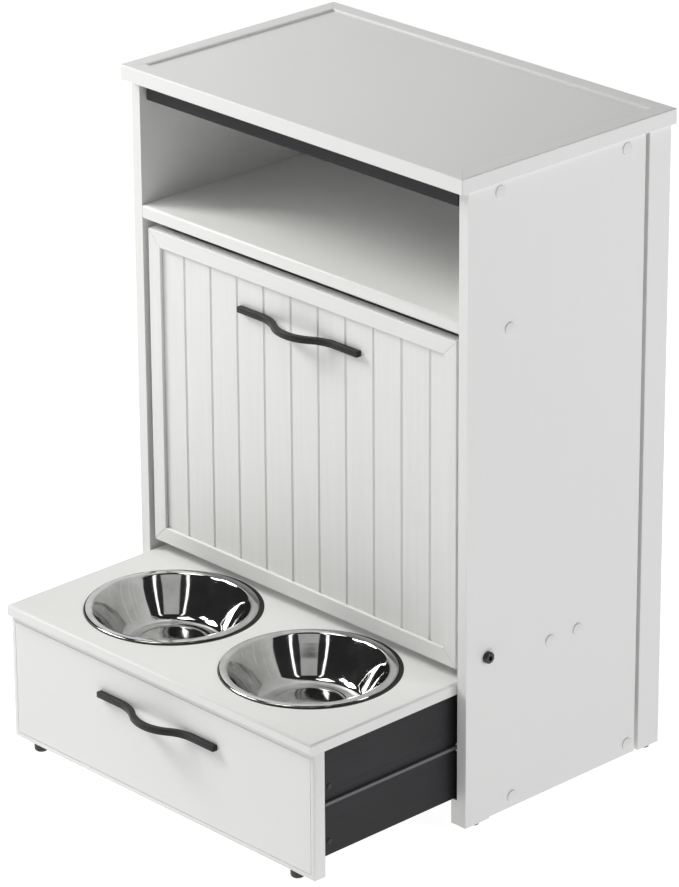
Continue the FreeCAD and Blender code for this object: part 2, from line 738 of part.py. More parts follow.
def drawer_front():
    name = "drawer_front"
    body = board(name, "2 * face_half", "face_thick", LID_LOW + " - face_low")
    round_edges(body, name + "_edge", "edge_round",
                lambda middle, direction, box: middle.y < 1 and middle.z < box.ZMax - 1)
    spots = [("face_half " + sign + " handle_screw_x", "drawer_handle_z - face_low")
             for sign in ("-", "+")]
    bore(body, name + "_handle_holes", "XZ_Plane", spots, "screw_radius")
    return place(body, "0 - face_half", "0 - face_front", "face_low")


WALL_SPOTS = ["wall_screw_a", "wall_screw_b"]


def drawer_side(side):
    name = "drawer_side_" + side
    body = board(name, "wall_thick", "out_back - ( " + FACE_BACK + " )",
                 LID_LOW + " - wall_low")
    spots = [("0 - wall_screw_y - ( " + FACE_BACK + " )", z + " - wall_low")
             for z in WALL_SPOTS]
    bore(body, name + "_screw_holes", "YZ_Plane", spots, "screw_radius")
    return place(body, near_x(side, "wall_outer - wall_thick", "wall_outer"), FACE_BACK,
                 "wall_low")


def guide_strip(side):
    """Light strip along the drawer's side that runs in the case's channel."""
    body = board("guide_strip_" + side, "strip_proud", "out_back - ( " + FACE_BACK + " )",
                 "strip_high")
    return place(body, near_x(side, "wall_outer", "wall_outer + strip_proud"), FACE_BACK,
                 "strip_low")


def drawer_corner_block(side):
    """Block inside the front corner that the drawer's side is screwed to."""
    name = "drawer_corner_block_" + side
    inner = "wall_outer - wall_thick - corner_wide"
    body = board(name, "corner_wide", "corner_deep", "corner_tall")
    spots = [("0 - wall_screw_y - ( " + FACE_BACK + " )", z + " - corner_low")
             for z in WALL_SPOTS]
    depth = "wall_screw_length - wall_thick"
    start = "corner_wide - ( " + depth + " )" if side == "right" else "0"
    bore(body, name + "_screw_holes", "YZ_Plane", spots, "screw_radius", start, depth)
    return place(body, near_x(side, inner, "wall_outer - wall_thick"), FACE_BACK,
                 "corner_low")


def drawer_side_screws():
    parts = []
    for side, sign, outward in SIDES:
        for index, z in enumerate(WALL_SPOTS):
            name = "drawer_side_screw_%s_%d" % (side, index)
            parts.append(cylinder(name + "_head", "wall_screw_head", "button_high", outward,
                                  sign + " * wall_outer", "0 - wall_screw_y", z))
            parts.append(cylinder(name + "_shank", "screw_radius",
                                  "wall_screw_length + button_high / 2", outward,
                                  sign + " * ( wall_outer - wall_screw_length )",
                                  "0 - wall_screw_y", z))
    return gather("drawer_side_screws", parts)


def drawer_back():
    half = "wall_outer - wall_thick"
    body = board("drawer_back", "2 * ( " + half + " )", "drawer_back_thick",
                 LID_LOW + " - wall_low")
    return place(body, "0 - ( " + half + " )", "out_back - drawer_back_thick", "wall_low")


def drawer_feet():
    """Black domed glides under the drawer's front."""
    parts = []
    for side, sign, outward in SIDES:
        x = sign + " * foot_x"
        y = "face_thick / 2 - face_front"
        parts.append(cone("drawer_foot_dome_" + side, "foot_tip", "foot_radius", "foot_dome",
                          UPRIGHT, x, y, "0"))
        parts.append(cylinder("drawer_foot_body_" + side, "foot_radius",
                              "face_low - foot_dome", UPRIGHT, x, y, "foot_dome"))
    return gather("drawer_feet", parts)


def bowl_gaskets():
    """Black seating ring in each rebate."""
    parts = []
    for side, sign, outward in SIDES:
        spot = (sign + " * bowl_x", "0 - bowl_y", "lid_top - rebate_deep")
        body = cylinder("gasket_body_" + side, "rebate_radius", "rebate_deep", UPRIGHT, *spot)
        hole = cylinder("gasket_hole_" + side, "hole_radius", "rebate_deep", UPRIGHT, *spot)
        parts.append(cut("gasket_" + side, body, hole))
    return gather("bowl_gaskets", parts)


for side, sign, outward in SIDES:
    PIECES += [drawer_side(side), guide_strip(side), drawer_corner_block(side)]
PIECES += [
    drawer_top_board(), drawer_front(), drawer_back(), drawer_side_screws(), drawer_feet(),
    bowl_gaskets(),
    bow_handle("drawer_handle", "0 - face_front", "drawer_handle_z"),
    handle_screws("drawer_handle_screws", "0 - face_front", "face_thick", "drawer_handle_z"),
]


# Bowls -------------------------------------------------------------------------------------

def bowl(side, sign):
    """Spun steel bowl: dimpled base, sloping wall and a flat rim hemmed down at its edge."""
    name = "bowl_" + side
    body = new_body(name)
    hem = "lid_top + hem_gap - rim_top"
    corners = [
        # inside, from the middle of the base up the wall and over the rim
        ("0", "dimple_high - bowl_deep"), ("dimple_radius", "dimple_high - bowl_deep"),
        ("dimple_radius + dimple_high", "0 - bowl_deep"), ("base_radius", "0 - bowl_deep"),
        ("base_radius + 5", "2 - bowl_deep"), ("base_radius + 9", "6 - bowl_deep"),
        ("mouth_radius - 2", "0 - 6"), ("mouth_radius", "0 - 2"), ("mouth_radius + 2", "0"),
        ("rim_radius - 1.2", "0"), ("rim_radius", "0 - 1.2"), ("rim_radius", hem),
        # back along the underside
        ("rim_radius - bowl_wall", hem), ("rim_radius - bowl_wall", "0 - 1.4"),
        ("rim_radius - bowl_wall - 0.5", "0 - bowl_wall"),
        ("mouth_radius + 1.5", "0 - bowl_wall"), ("mouth_radius + 0.2", "0 - 2.6"),
        ("mouth_radius - 1.2", "0 - 6.6"), ("base_radius + 9.6", "5.2 - bowl_deep"),
        ("base_radius + 5.4", "1 - bowl_deep"), ("base_radius + 0.2", "0 - bowl_deep - bowl_wall"),
        ("dimple_radius + dimple_high - 0.4", "0 - bowl_deep - bowl_wall"),
        ("dimple_radius - 0.4", "dimple_high - bowl_deep - bowl_wall"),
        ("0", "dimple_high - bowl_deep - bowl_wall"),
    ]
    section = new_sketch(body, name + "_section", "XZ_Plane")
    draw_polygon(section, corners)
    turned = body.newObject("PartDesign::Revolution", name + "_turned")
    turned.Profile = section
    turned.ReferenceAxis = (section, ["V_Axis"])
    turned.Angle = 360
    doc.recompute()
    return place(body, sign + " * bowl_x - bowl_shift", "0 - bowl_y - bowl_shift", "rim_top")


for side, sign, outward in SIDES:
    PIECES.append(bowl(side, sign))


# Check and write -----------------------------------------------------------------------------

doc.recompute()
for item in doc.Objects:
    for word in ("Invalid", "Error"):
        if any(word in state for state in item.State):
            raise RuntimeError(item.Name + " is " + ", ".join(item.State))
for piece in PIECES:
    if piece.Shape.isNull() or not piece.Shape.isValid() or not piece.Shape.Solids:
        raise RuntimeError(piece.Label + " has no valid solid")
os.makedirs("parts", exist_ok=True)
for piece in PIECES:
    piece.Shape.exportStep("parts/" + piece.Label + ".step")
print(len(PIECES), "pieces written")
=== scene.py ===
import bmesh
import bpy
import math
from mathutils import Matrix, Vector


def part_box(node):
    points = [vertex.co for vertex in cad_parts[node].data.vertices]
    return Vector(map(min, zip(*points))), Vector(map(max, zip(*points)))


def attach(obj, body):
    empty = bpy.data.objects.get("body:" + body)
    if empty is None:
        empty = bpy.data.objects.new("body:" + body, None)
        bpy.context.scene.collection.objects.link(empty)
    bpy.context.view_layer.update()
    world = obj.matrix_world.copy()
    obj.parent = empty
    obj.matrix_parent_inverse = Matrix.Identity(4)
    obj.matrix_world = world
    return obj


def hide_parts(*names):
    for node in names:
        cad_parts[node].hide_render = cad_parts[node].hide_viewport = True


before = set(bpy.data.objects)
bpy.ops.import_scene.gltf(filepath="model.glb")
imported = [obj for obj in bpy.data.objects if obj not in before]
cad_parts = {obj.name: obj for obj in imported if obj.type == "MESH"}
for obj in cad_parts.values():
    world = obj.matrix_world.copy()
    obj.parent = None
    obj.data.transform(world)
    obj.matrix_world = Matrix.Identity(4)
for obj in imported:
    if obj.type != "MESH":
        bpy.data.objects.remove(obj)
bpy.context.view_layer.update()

# Pet food bin. Metres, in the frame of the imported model: X runs across the front, the
# front faces -Y and Z is up from the floor. Each section below is one group of pieces,
# in the order they are put together: the studio, the case, its fasteners, the tilt-out
# bin, the drawer and the bowls.


# Studio: a plain floor that glows white, a warm key light high on the left of the front,
# lights over the top, on the right and behind, and pale panels for the steel to mirror.
# The camera looks down on the right front corner through a long lens.
FLOOR_HALF = 30.0
FLOOR_GREY = 0.35
FLOOR_GLOW = 0.92
WORLD_GLOW = 0.03
CAMERA_TARGET = Vector((-0.0819, 0.1077, 0.3582))
CAMERA_AZIMUTH = math.radians(46.459)
CAMERA_ELEVATION = math.radians(22.814)
CAMERA_ROLL = math.radians(-0.364)
CAMERA_DISTANCE = 6.0366
CAMERA_LENS = 192.6


def studio_floor():
    build = bmesh.new()
    bmesh.ops.create_grid(build, x_segments=1, y_segments=1, size=FLOOR_HALF)
    mesh = bpy.data.meshes.new("studio_floor")
    build.to_mesh(mesh)
    build.free()
    floor = bpy.data.objects.new("studio_floor", mesh)
    bpy.context.collection.objects.link(floor)
    material = bpy.data.materials.new("glowing_floor")
    material.use_nodes = True
    shader = material.node_tree.nodes["Principled BSDF"]
    shader.inputs["Base Color"].default_value = (FLOOR_GREY, FLOOR_GREY, FLOOR_GREY, 1)
    shader.inputs["Roughness"].default_value = 0.9
    shader.inputs["Specular IOR Level"].default_value = 0.1
    shader.inputs["Emission Color"].default_value = (1, 1, 1, 1)
    shader.inputs["Emission Strength"].default_value = FLOOR_GLOW
    mesh.materials.append(material)


def soft_light(name, place, aim, wide, high, power, colour, spread=180):
    """A lamp of wide by high metres turned to aim, its power in watts, spread in degrees."""
    data = bpy.data.lights.new(name, "AREA")
    data.shape = "RECTANGLE"
    data.size = wide
    data.size_y = high
    data.energy = power
    data.color = colour
    data.spread = math.radians(spread)
    light = bpy.data.objects.new(name, data)
    light.location = place
    towards = Vector(place) - Vector(aim)
    light.rotation_euler = towards.to_track_quat("Z", "Y").to_euler()
    bpy.context.collection.objects.link(light)


def studio_camera():
    flat = math.cos(CAMERA_ELEVATION)
    back = Vector((math.sin(CAMERA_AZIMUTH) * flat, -math.cos(CAMERA_AZIMUTH) * flat,
                   math.sin(CAMERA_ELEVATION)))
    right = (-back).cross(Vector((0, 0, 1))).normalized()
    up = back.cross(right)
    turn = Matrix((right, up, back)).transposed().to_4x4()
    data = bpy.data.cameras.new("camera")
    data.lens = CAMERA_LENS
    data.clip_end = 100
    camera = bpy.data.objects.new("camera", data)
    place = Matrix.Translation(CAMERA_TARGET + back * CAMERA_DISTANCE)
    camera.matrix_world = place @ turn @ Matrix.Rotation(CAMERA_ROLL, 4, "Z")
    bpy.context.collection.objects.link(camera)
    bpy.context.scene.camera = camera


def studio_world():
    world = bpy.data.worlds.new("studio")
    world.use_nodes = True
    background = world.node_tree.nodes["Background"]
    background.inputs["Color"].default_value = (1, 1, 1, 1)
    background.inputs["Strength"].default_value = WORLD_GLOW
    bpy.context.scene.world = world
    bpy.context.scene.view_settings.view_transform = "Standard"


studio_floor()
studio_world()
studio_camera()
WARM_WHITE = (1, 0.995, 0.98)
COOL_WHITE = (0.975, 0.985, 1)
soft_light("key_light", (-2.3, -1.25, 2.35), (0, -0.1, 0.3), 1.0, 1.0, 72, WARM_WHITE)
soft_light("drawer_light", (-1.2, -1.7, 2.0), (-0.1, -0.25, 0.2), 0.5, 0.5, 1.2, WARM_WHITE, 60)
soft_light("top_light", (-0.5, -1.0, 3.4), (0, -0.2, 0.3), 1.0, 1.0, 17, WARM_WHITE)
soft_light("right_fill", (3.3, 1.6, 1.5), (0, 0.1, 0.4), 0.9, 1.4, 41, COOL_WHITE)
soft_light("ceiling_panel", (1.9, -1.9, 3.2), (0, 0, 0.4), 1.7, 1.1, 3, WARM_WHITE)
soft_light("ceiling_strip_left", (0.7, -2.6, 3.2), (0, 0, 0.4), 0.22, 1.8, 3, WARM_WHITE)
soft_light("ceiling_strip_right", (2.6, -0.7, 3.2), (0, 0, 0.4), 0.22, 1.8, 3, COOL_WHITE)
soft_light("rear_panel", (-2.1, 2.0, 1.7), (0, 0, 0.3), 1.8, 1.6, 8, COOL_WHITE)


# Case: white painted boards. Side panels on short front feet, rear posts behind an open
# slot, a back panel, a shelf, a cross board, runners, and a mitred rim round a sunk top.
# Every edge is lightly eased, and the paint has a faint grain and orange peel.
BOARD_EDGE = 0.0007
WHITE_PAINT = (0.80, 0.80, 0.79)


def new_material(name, colour, roughness, specular=0.5):
    """A plain material, with its node tree and its shader."""
    material = bpy.data.materials.new(name)
    material.use_nodes = True
    shader = material.node_tree.nodes["Principled BSDF"]
    shader.inputs["Base Color"].default_value = (*colour, 1)
    shader.inputs["Roughness"].default_value = roughness
    shader.inputs["Specular IOR Level"].default_value = specular
    return material, material.node_tree, shader


def noise(tree, scale, detail, stretch=(1, 1, 1)):
    """Noise on the piece's own coordinates, stretched along its grain if it has one."""
    place = tree.nodes.new("ShaderNodeTexCoord")
    mapping = tree.nodes.new("ShaderNodeMapping")
    mapping.inputs["Scale"].default_value = stretch
    texture = tree.nodes.new("ShaderNodeTexNoise")
    texture.inputs["Scale"].default_value = scale
    texture.inputs["Detail"].default_value = detail
    tree.links.new(place.outputs["Object"], mapping.inputs["Vector"])
    tree.links.new(mapping.outputs["Vector"], texture.inputs["Vector"])
    return texture.outputs["Fac"]


def board_grain(tree, scale, along, squeeze):
    """Long noise streaks that run along one axis."""
    stretch = [1.0, 1.0, 1.0]
    stretch["XYZ".index(along)] = squeeze
    return noise(tree, scale, 5, stretch)


def ramp(tree, source, dark, light, low=0.3, high=0.7):
    """Turns a pattern into a colour between dark and light."""
    node = tree.nodes.new("ShaderNodeValToRGB")
    node.color_ramp.elements[0].position = low
    node.color_ramp.elements[0].color = (*dark, 1)
    node.color_ramp.elements[1].position = high
    node.color_ramp.elements[1].color = (*light, 1)
    tree.links.new(source, node.inputs["Fac"])
    return node.outputs["Color"]


def bump(tree, shader, layers):
    """Stacks bump layers, each (pattern, strength, depth in metres), under the shader."""
    below = None
    for pattern, strength, depth in layers:
        node = tree.nodes.new("ShaderNodeBump")
        node.inputs["Strength"].default_value = strength
        node.inputs["Distance"].default_value = depth
        tree.links.new(pattern, node.inputs["Height"])
        if below is not None:
            tree.links.new(below, node.inputs["Normal"])
        below = node.outputs["Normal"]
    tree.links.new(below, shader.inputs["Normal"])


def scaled(colour, factor):
    return tuple(part * factor for part in colour)


def grey(level):
    return (level, level, level)


def white_board(name, along, grain=0.12, shade=0.994):
    """White paint over board: stretched grain, a broad tone change and orange peel."""
    material, tree, shader = new_material(name, WHITE_PAINT, 0.42, 0.4)
    grain_lines = board_grain(tree, 190, along, 0.035)
    cloud = noise(tree, 3.0, 2)
    peel = noise(tree, 900, 2)
    lines = ramp(tree, grain_lines, scaled(WHITE_PAINT, shade), WHITE_PAINT, 0.32, 0.62)
    tone = ramp(tree, cloud, grey(0.988), grey(1))
    mix = tree.nodes.new("ShaderNodeMix")
    mix.data_type = "RGBA"
    mix.blend_type = "MULTIPLY"
    mix.inputs["Factor"].default_value = 1
    tree.links.new(lines, mix.inputs["A"])
    tree.links.new(tone, mix.inputs["B"])
    tree.links.new(mix.outputs["Result"], shader.inputs["Base Color"])
    gloss = ramp(tree, cloud, grey(0.38), grey(0.48))
    tree.links.new(gloss, shader.inputs["Roughness"])
    bump(tree, shader, [(grain_lines, grain, 0.00012), (peel, 0.25, 0.00004)])
    return material


def paint_node(node, material):
    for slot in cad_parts[node].material_slots:
        slot.material = material


def ease(node, width, segments):
    """Joins the node's loose triangles into flat faces and eases its sharp edges."""
    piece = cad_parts[node]
    weld = piece.modifiers.new("weld", "WELD")
    weld.merge_threshold = 0.00001
    planar = piece.modifiers.new("planar", "DECIMATE")
    planar.decimate_type = "DISSOLVE"
    planar.angle_limit = math.radians(0.5)
    edge = piece.modifiers.new("edge", "BEVEL")
    edge.width = width
    edge.segments = segments
    edge.limit_method = "ANGLE"
    edge.angle_limit = math.radians(35)
    edge.use_clamp_overlap = True


def dress(nodes, material, edge=BOARD_EDGE, segments=2):
    """Paints the nodes and eases their edges."""
    for node in nodes:
        paint_node(node, material)
        ease(node, edge, segments)


upright_board = white_board("upright_white_board", "Z")
cross_board = white_board("cross_white_board", "X")
deep_board = white_board("deep_white_board", "Y")

dress(["side_panel_left", "side_panel_right", "rear_post_left", "rear_post_right",
       "rear_batten_left", "rear_batten_right", "back_panel"], upright_board)
dress(["top_panel", "top_rim_front", "top_rim_back", "shelf", "stretcher"], cross_board)
dress(["top_rim_left", "top_rim_right", "stop_block_left", "stop_block_right",
       "runner_cleat_left", "runner_cleat_right"], deep_board)


# Dark rails and battens under the top: anthracite painted board. The rails run across
# between the side panels, and the battens run front to back along the panels' insides.
ANTHRACITE = (0.0125, 0.012, 0.0145)


def anthracite_board(name, along):
    material, tree, shader = new_material(name, ANTHRACITE, 0.5, 0.3)
    grain_lines = board_grain(tree, 240, along, 0.03)
    cloud = noise(tree, 6.0, 3)
    colour = ramp(tree, grain_lines, scaled(ANTHRACITE, 0.8), scaled(ANTHRACITE, 1.25))
    tree.links.new(colour, shader.inputs["Base Color"])
    gloss = ramp(tree, cloud, grey(0.42), grey(0.56))
    tree.links.new(gloss, shader.inputs["Roughness"])
    bump(tree, shader, [(grain_lines, 0.6, 0.0002)])
    return material


dark_cross_board = anthracite_board("dark_cross_board", "X")
dark_deep_board = anthracite_board("dark_deep_board", "Y")
dress(["top_rail_front", "top_rail_back"], dark_cross_board)
dress(["top_batten_left", "top_batten_right"], dark_deep_board)


# Guide channels, floor glides, and the pivots' spacers and bushes: moulded in white,
# black or natural plastic with a fine satin texture.
CHANNEL_EDGE = 0.0003
GLIDE_EDGE = 0.0004


def moulded_plastic(name, colour, roughness):
    material, tree, shader = new_material(name, colour, roughness, 0.45)
    cloud = noise(tree, 40, 3)
    spark = noise(tree, 2200, 1)
    tint = ramp(tree, cloud, scaled(colour, 0.94), colour)
    tree.links.new(tint, shader.inputs["Base Color"])
    bump(tree, shader, [(spark, 0.3, 0.00004)])
    return material


white_plastic = moulded_plastic("white_plastic", (0.78, 0.78, 0.77), 0.38)
black_plastic = moulded_plastic("black_plastic", (0.018, 0.018, 0.019), 0.42)
natural_nylon = moulded_plastic("natural_nylon", (0.72, 0.72, 0.68), 0.45)
dress(["guide_channel_left", "guide_channel_right"], white_plastic, CHANNEL_EDGE)
dress(["floor_glides"], black_plastic, GLIDE_EDGE)
for node in ("pivot_spacers", "pivot_bushes"):
    paint_node(node, natural_nylon)


# Case screws, nuts and the screws behind the handles: zinc-plated steel, bright and
# faintly clouded.
def zinc_steel():
    colour = (0.62, 0.62, 0.63)
    material, tree, shader = new_material("zinc_steel", colour, 0.35)
    shader.inputs["Metallic"].default_value = 1
    cloud = noise(tree, 300, 3)
    tint = ramp(tree, cloud, scaled(colour, 0.8), colour)
    tree.links.new(tint, shader.inputs["Base Color"])
    bump(tree, shader, [(cloud, 0.2, 0.00005)])
    return material


screw_steel = zinc_steel()
for node in ("case_screws", "bin_handle_screws", "drawer_handle_screws", "pivot_nuts"):
    paint_node(node, screw_steel)


# Cover caps: white push-in plastic caps over the case screws, seven on each side, each a
# thin disc with a rounded rim.
CAP_RADIUS = 0.008
CAP_THICK = 0.0015
CAP_ROUNDING = 0.0006
PANEL_FACE = 0.296
FRONT_Y = -0.04228
# how far each cap is behind the side panel's front edge, and its height
CAP_SPOTS = [(0.0525, 0.8195), (0.269, 0.8195), (0.070, 0.643), (0.1457, 0.2095),
             (0.1946, 0.2095), (0.081, 0.019), (0.288, 0.019)]
NEARLY_ZERO = 1e-6


def finished(name, build, material, body, replaced):
    """Turns a bmesh into a finished piece that rides on a body and stands for its nodes."""
    bmesh.ops.recalc_face_normals(build, faces=build.faces)
    mesh = bpy.data.meshes.new(name)
    build.to_mesh(mesh)
    build.free()
    mesh.materials.append(material)
    mesh.shade_smooth()
    mesh.set_sharp_from_angle(angle=math.radians(32))
    piece = bpy.data.objects.new(name, mesh)
    bpy.context.collection.objects.link(piece)
    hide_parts(*replaced)
    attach(piece, body)


def add_disc(build, radius, thick, rounding, centre, outward, sides=48):
    """A disc standing on centre along X, its outer rim rounded."""
    turn = Matrix.Rotation(outward * math.pi / 2, 4, "Y")
    place = Matrix.Translation(Vector(centre) + Vector((outward * thick / 2, 0, 0))) @ turn
    made = bmesh.ops.create_cone(build, cap_ends=True, segments=sides, radius1=radius,
                                 radius2=radius, depth=thick, matrix=place)
    face_x = centre[0] + outward * thick
    rim = {edge for vert in made["verts"] for edge in vert.link_edges
           if all(abs(end.co.x - face_x) < NEARLY_ZERO for end in edge.verts)}
    bmesh.ops.bevel(build, geom=list(rim), offset=rounding, offset_type="OFFSET",
                    segments=3, profile=0.5, affect="EDGES", material=-1)


def cover_caps():
    build = bmesh.new()
    for outward in (-1, 1):
        for y, z in CAP_SPOTS:
            add_disc(build, CAP_RADIUS, CAP_THICK, CAP_ROUNDING,
                     (outward * PANEL_FACE, FRONT_Y + y, z), outward)
    finished("cover_cap_discs", build, white_plastic, "case", ["cover_caps"])


cover_caps()


# Pivot bolts: black steel bolts on which the bin tilts, each passed through a side panel
# and with a round head that has a round socket sunk in it.
PIVOT_Y = FRONT_Y + 0.036
PIVOT_Z = 0.224
BOLT_HEAD_RADIUS = 0.0075
BOLT_HEAD_THICK = 0.006
BOLT_HEAD_ROUNDING = 0.0018
SOCKET_MARGIN = 0.0026
SOCKET_DEEP = 0.003
SHANK_RADIUS = 0.003
SHANK_LONG = 0.0413
SHANK_ROUNDING = 0.0003
SMALL_DISC_SIDES = 24


def black_steel():
    colour = (0.016, 0.016, 0.017)
    material, tree, shader = new_material("black_steel", colour, 0.34, 0.5)
    cloud = noise(tree, 500, 3)
    tint = ramp(tree, cloud, scaled(colour, 0.7), scaled(colour, 1.5))
    tree.links.new(tint, shader.inputs["Base Color"])
    bump(tree, shader, [(cloud, 0.25, 0.00005)])
    return material


def pivot_bolts():
    build = bmesh.new()
    for outward in (-1, 1):
        head = (outward * PANEL_FACE, PIVOT_Y, PIVOT_Z)
        add_disc(build, BOLT_HEAD_RADIUS, BOLT_HEAD_THICK, BOLT_HEAD_ROUNDING, head, outward)
        face_x = outward * (PANEL_FACE + BOLT_HEAD_THICK)
        face = [item for item in build.faces
                if abs(item.calc_center_median().x - face_x) < NEARLY_ZERO]
        bmesh.ops.inset_region(build, faces=face, thickness=SOCKET_MARGIN)
        pushed = bmesh.ops.extrude_face_region(build, geom=face)
        moved = [item for item in pushed["geom"] if isinstance(item, bmesh.types.BMVert)]
        bmesh.ops.delete(build, geom=face, context="FACES")
        bmesh.ops.translate(build, verts=moved, vec=(-outward * SOCKET_DEEP, 0, 0))
        shank = (outward * (PANEL_FACE - SHANK_LONG), PIVOT_Y, PIVOT_Z)
        add_disc(build, SHANK_RADIUS, SHANK_LONG, SHANK_ROUNDING, shank, outward,
                 SMALL_DISC_SIDES)
    finished("pivot_bolt_heads", build, black_steel(), "case", ["pivot_bolts"])


pivot_bolts()


# Tilt-out bin: a white beaded door panel inside a mitred frame, with plain white boards
# behind it that form an open-topped bin. The door's paint shows the upright grain.
DOOR_PANEL_EDGE = 0.0003
DOOR_FRAME_EDGE = 0.0009

door_board = white_board("door_white_board", "Z", 0.7, 0.97)
door_cross = white_board("door_cross_board", "X", 0.5, 0.98)
dress(["bin_front_panel"], door_board, DOOR_PANEL_EDGE, 1)
dress(["bin_frame_left", "bin_frame_right"], door_board, DOOR_FRAME_EDGE, 3)
dress(["bin_frame_top", "bin_frame_bottom"], door_cross, DOOR_FRAME_EDGE, 3)
dress(["bin_side_left", "bin_side_right"], deep_board)
dress(["bin_bottom", "bin_back"], cross_board)


# Handles: square steel bar bowed outwards between two flat ends, powder-coated matt
# black, one on the bin's door and one on the drawer's front.
HANDLE_LENGTH = 0.215
HANDLE_FLAT = 0.042
HANDLE_BOW = 0.0204
HANDLE_BAR = 0.008
HANDLE_STEPS = 14
HANDLE_ROUNDING = 0.0011
# radius of the arcs, the same for all three
HANDLE_CURVE = ((HANDLE_LENGTH / 2 - HANDLE_FLAT) ** 2 + HANDLE_BOW ** 2) / 4 / HANDLE_BOW
DOOR_FACE_Y = FRONT_Y + 0.0075
DOOR_HANDLE_Z = 0.575
DRAWER_FACE_Y = FRONT_Y - 0.237
DRAWER_HANDLE_Z = 0.129


def powder_coat():
    colour = (0.010, 0.010, 0.011)
    material, tree, shader = new_material("black_powder_coat", colour, 0.46, 0.35)
    cloud = noise(tree, 60, 3)
    grit = noise(tree, 1500, 2)
    tint = ramp(tree, cloud, scaled(colour, 0.75), scaled(colour, 1.3))
    tree.links.new(tint, shader.inputs["Base Color"])
    gloss = ramp(tree, grit, grey(0.4), grey(0.55))
    tree.links.new(gloss, shader.inputs["Roughness"])
    bump(tree, shader, [(grit, 0.45, 0.00006)])
    return material


handle_coat = powder_coat()


def bow_handle(name, surface_y, height, body, node):
    """The bar's square end face is pushed along the flats and spun round the arcs."""
    build = bmesh.new()
    half = HANDLE_BAR / 2
    start_x = -HANDLE_LENGTH / 2
    centre_y = surface_y - half
    corners = [build.verts.new((start_x, centre_y + y, height + z))
               for y, z in ((-half, -half), (half, -half), (half, half), (-half, half))]
    end = [build.faces.new(corners)]

    def push(distance):
        nonlocal end
        made = bmesh.ops.extrude_face_region(build, geom=end)["geom"]
        bmesh.ops.delete(build, geom=end, context="FACES_ONLY")
        moved = [item for item in made if isinstance(item, bmesh.types.BMVert)]
        bmesh.ops.translate(build, verts=moved, vec=(distance, 0, 0))
        end = [item for item in made if isinstance(item, bmesh.types.BMFace)]

    def spin(centre_x, y, angle, steps):
        nonlocal end
        made = bmesh.ops.spin(build, geom=end, cent=(centre_x, y, height), axis=(0, 0, 1),
                              angle=angle, steps=steps, use_duplicate=False)
        bmesh.ops.delete(build, geom=end, context="FACES_ONLY")
        end = [item for item in made["geom_last"] if isinstance(item, bmesh.types.BMFace)]

    # the copy closes the bar's first end
    bmesh.ops.duplicate(build, geom=end + list(build.verts))
    rise = math.asin((HANDLE_LENGTH / 2 - HANDLE_FLAT) / 2 / HANDLE_CURVE)
    out_y = centre_y - HANDLE_CURVE
    crest_y = centre_y - 2 * HANDLE_CURVE * (1 - math.cos(rise)) + HANDLE_CURVE
    push(HANDLE_FLAT)
    spin(start_x + HANDLE_FLAT, out_y, -rise, HANDLE_STEPS)
    spin(0, crest_y, 2 * rise, 2 * HANDLE_STEPS)
    spin(-start_x - HANDLE_FLAT, out_y, -rise, HANDLE_STEPS)
    push(HANDLE_FLAT)
    bmesh.ops.remove_doubles(build, verts=build.verts, dist=NEARLY_ZERO)
    bmesh.ops.recalc_face_normals(build, faces=build.faces)
    sharp = [edge for edge in build.edges
             if len(edge.link_faces) == 2 and edge.calc_face_angle(0) > math.radians(50)]
    bmesh.ops.bevel(build, geom=sharp, offset=HANDLE_ROUNDING, offset_type="OFFSET",
                    segments=3, profile=0.5, affect="EDGES", material=-1)
    finished(name, build, handle_coat, body, [node])


bow_handle("door_bow_handle", DOOR_FACE_Y, DOOR_HANDLE_Z, "bin", "bin_handle")


# Drawer: a white top board with two rebated holes, anthracite sides, back and corner
# blocks, and a dark grey plastic strip along each side that runs in the case's channel.
STRIP_EDGE = 0.0003
TOP_BOARD_EDGE = 0.0005

dress(["drawer_side_left", "drawer_side_right", "drawer_corner_block_left",
       "drawer_corner_block_right"], dark_deep_board)
dress(["drawer_back"], dark_cross_board)
dark_grey_plastic = moulded_plastic("dark_grey_plastic", (0.12, 0.12, 0.127), 0.4)
dress(["guide_strip_left", "guide_strip_right"], dark_grey_plastic, STRIP_EDGE)
dress(["drawer_top_board"], cross_board, TOP_BOARD_EDGE, 1)


# Drawer front: one white board with rounded edges and a fine line let in round its face,
# a little way in from the edges. The second handle is fixed to it.
FRONT_ROUNDING = 0.0015
LINE_INSET = 0.007
LINE_WIDE = 0.0012
LINE_DEEP = 0.0010
# only the board's face and back are larger than this, in square metres
LARGE_FACE = 0.05


def drawer_front():
    build = bmesh.new()
    low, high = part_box("drawer_front")
    middle = (Vector(low) + Vector(high)) / 2
    size = Vector(high) - Vector(low)
    place = Matrix.Translation(middle) @ Matrix.Diagonal((*size, 1))
    bmesh.ops.create_cube(build, size=1, matrix=place)
    bmesh.ops.bevel(build, geom=list(build.edges), offset=FRONT_ROUNDING,
                    offset_type="OFFSET", segments=3, profile=0.5, affect="EDGES", material=-1)
    face = [item for item in build.faces
            if item.normal.y < -0.99 and item.calc_area() > LARGE_FACE]
    bmesh.ops.inset_region(build, faces=face, thickness=LINE_INSET)
    ring = bmesh.ops.inset_region(build, faces=face, thickness=LINE_WIDE)["faces"]
    sunk = bmesh.ops.extrude_face_region(build, geom=ring)["geom"]
    bmesh.ops.delete(build, geom=ring, context="FACES")
    moved = [item for item in sunk if isinstance(item, bmesh.types.BMVert)]
    bmesh.ops.translate(build, verts=moved, vec=(0, LINE_DEEP, 0))
    finished("drawer_front_board", build, cross_board, "drawer", ["drawer_front"])


drawer_front()
bow_handle("drawer_bow_handle", DRAWER_FACE_Y, DRAWER_HANDLE_Z, "drawer", "drawer_handle")


